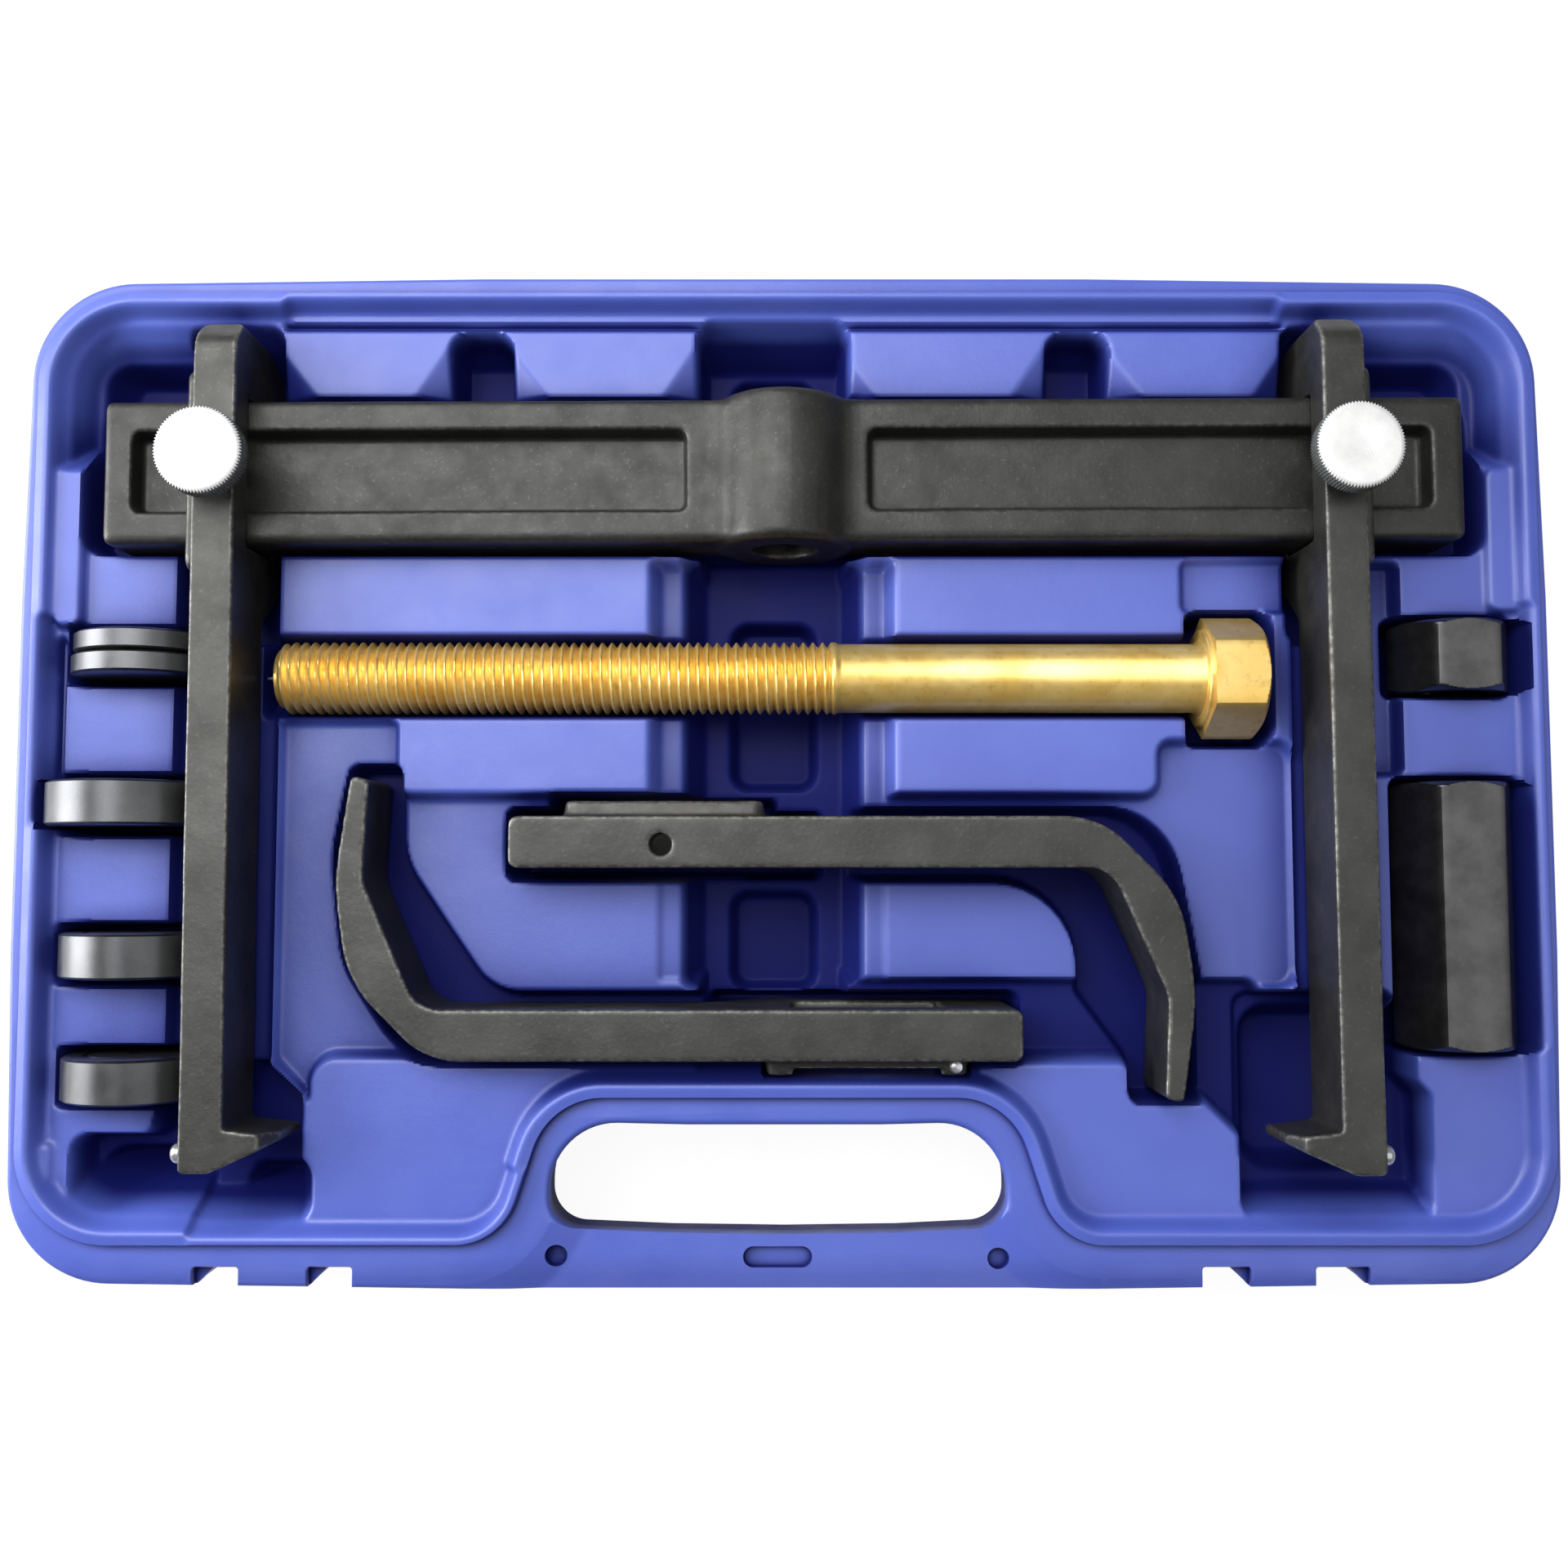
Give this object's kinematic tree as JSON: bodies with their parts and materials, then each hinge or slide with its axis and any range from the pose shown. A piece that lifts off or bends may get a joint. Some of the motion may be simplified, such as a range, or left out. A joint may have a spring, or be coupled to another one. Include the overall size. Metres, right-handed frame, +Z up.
{
  "type": "bridge puller kit",
  "caption": "two-arm bridge puller with clamped sliding arms, curved jaws, forcing screw, pressure discs and nuts, each in its own pocket of a moulded case tray",
  "frame": {"origin": "centre of the case's underside", "axes": "+X along the case to the right, +Y from the carrying handle to the back edge, +Z up out of the tray"},
  "size_m": [0.402, 0.265, 0.0673],
  "materials": {
    "case": "blow-moulded blue plastic, satin",
    "forged": "black oxide over forged and milled steel",
    "blackened": "turned and blackened steel",
    "zinc_yellow": "yellow zinc plating on steel",
    "plated": "bright zinc plating on steel"
  },
  "bodies": {
    "case": {"case_tray": "case"},
    "bar": {"crossbar": "forged"},
    "left_arm": {"arm_left": "forged", "foot_stud_left": "plated"},
    "right_arm": {"arm_right": "forged", "foot_stud_right": "plated"},
    "left_clamp": {"thumbscrew_left_knob": "plated", "thumbscrew_left_stem": "plated"},
    "right_clamp": {"thumbscrew_right_knob": "plated", "thumbscrew_right_stem": "plated"},
    "screw": {"forcing_screw": "zinc_yellow", "screw_point": "zinc_yellow"},
    "upper_jaw": {"jaw_upper": "forged"},
    "lower_jaw": {"jaw_lower": "forged"},
    "disc_thin_back_body": {"disc_thin_back": "blackened"},
    "disc_thin_front_body": {"disc_thin_front": "blackened"},
    "disc_large_body": {"disc_large": "blackened"},
    "disc_medium_body": {"disc_medium": "blackened"},
    "disc_small_body": {"disc_small": "blackened"},
    "nut": {"hex_nut": "blackened"},
    "long_nut": {"coupling_nut": "blackened"}
  },
  "joints": [
    {"name": "crossbar_lift", "type": "slide", "parent": "case", "child": "bar", "axis": [0, 0, 1], "range_m": [0, 0.06]},
    {"name": "left_arm_slide", "type": "slide", "parent": "bar", "child": "left_arm", "axis": [1, 0.0044, 0], "range_m": [-0.0005, 0.0005]},
    {"name": "right_arm_slide", "type": "slide", "parent": "bar", "child": "right_arm", "axis": [-1, -0.0044, 0], "range_m": [-0.0006, 0.0012]},
    {"name": "left_thumbscrew_turn", "type": "hinge", "parent": "left_arm", "child": "left_clamp", "pos_m": [-0.1451, 0.07837, 0.0609], "axis": [0, 0, 1], "continuous": true},
    {"name": "right_thumbscrew_turn", "type": "hinge", "parent": "right_arm", "child": "right_clamp", "pos_m": [0.1428, 0.07962, 0.0609], "axis": [0, 0, 1], "continuous": true},
    {"name": "screw_lift", "type": "slide", "parent": "case", "child": "screw", "axis": [0, 0, 1], "range_m": [0, 0.05]},
    {"name": "upper_jaw_lift", "type": "slide", "parent": "case", "child": "upper_jaw", "axis": [0, 0, 1], "range_m": [0, 0.06]},
    {"name": "lower_jaw_lift", "type": "slide", "parent": "case", "child": "lower_jaw", "axis": [0, 0, 1], "range_m": [0, 0.06]},
    {"name": "disc_thin_back_lift", "type": "slide", "parent": "case", "child": "disc_thin_back_body", "axis": [0, 0, 1], "range_m": [0, 0.06]},
    {"name": "disc_thin_front_lift", "type": "slide", "parent": "case", "child": "disc_thin_front_body", "axis": [0, 0, 1], "range_m": [0, 0.06]},
    {"name": "disc_large_lift", "type": "slide", "parent": "case", "child": "disc_large_body", "axis": [0, 0, 1], "range_m": [0, 0.06]},
    {"name": "disc_medium_lift", "type": "slide", "parent": "case", "child": "disc_medium_body", "axis": [0, 0, 1], "range_m": [0, 0.06]},
    {"name": "disc_small_lift", "type": "slide", "parent": "case", "child": "disc_small_body", "axis": [0, 0, 1], "range_m": [0, 0.06]},
    {"name": "hex_nut_lift", "type": "slide", "parent": "case", "child": "nut", "axis": [0, 0, 1], "range_m": [0, 0.05]},
    {"name": "coupling_nut_lift", "type": "slide", "parent": "case", "child": "long_nut", "axis": [0, 0, 1], "range_m": [0, 0.05]}
  ]
}
